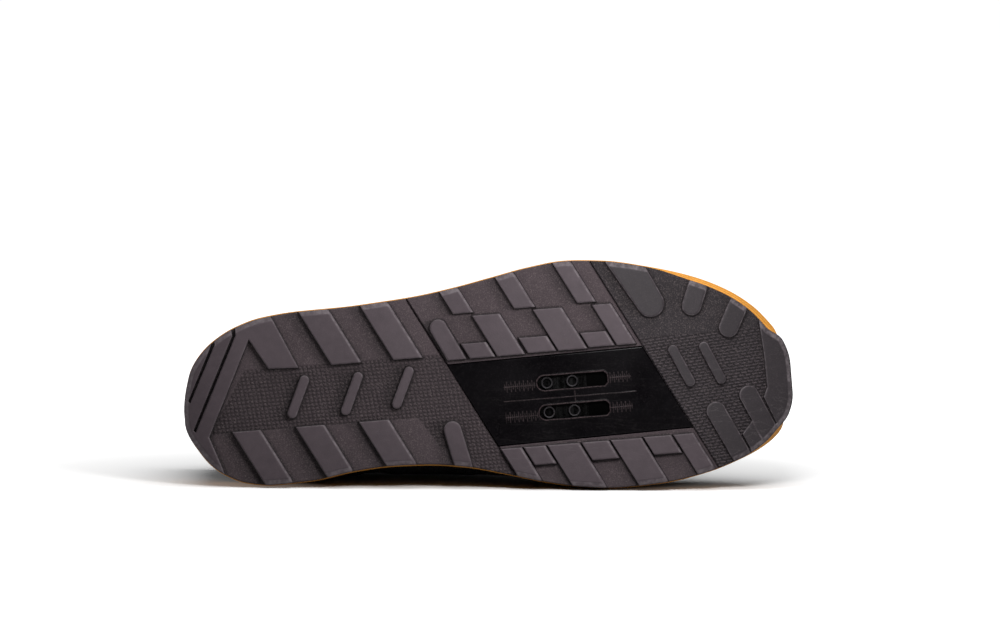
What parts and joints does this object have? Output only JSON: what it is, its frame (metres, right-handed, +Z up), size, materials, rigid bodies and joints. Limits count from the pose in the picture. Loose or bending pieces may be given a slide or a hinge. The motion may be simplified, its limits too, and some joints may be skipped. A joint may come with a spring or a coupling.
{
  "type": "cycling shoe",
  "caption": "Right cycling shoe with a lugged sole, a slotted cleat plate and a low laced upper, lying on its inner side.",
  "frame": {"origin": "on the floor, under the middle of the box round the shoe as it lies on its inner side", "axes": "+X towards the toe, -Y the way the sole faces, +Z up from the floor towards the outer side of the foot"},
  "size_m": [0.2894, 0.1326, 0.1086],
  "materials": {
    "rubber": "matte",
    "midsole": "matte",
    "plate": "gloss",
    "steel": "satin",
    "lining": "matte",
    "upper": "satin",
    "tongue": "matte",
    "lace": "matte"
  },
  "bodies": {
    "root": {"outsole_heel": "rubber", "outsole_ball_outer": "rubber", "outsole_ball_inner": "rubber", "outsole_toe": "rubber", "midsole": "midsole", "cleat_plate": "plate", "cleat_nut_plate": "steel", "insole": "lining", "upper": "upper", "tongue": "tongue", "lace_1": "lace", "lace_2": "lace", "lace_3": "lace", "lace_4": "lace", "lace_5": "lace", "lace_6": "lace"}
  },
  "joints": []
}
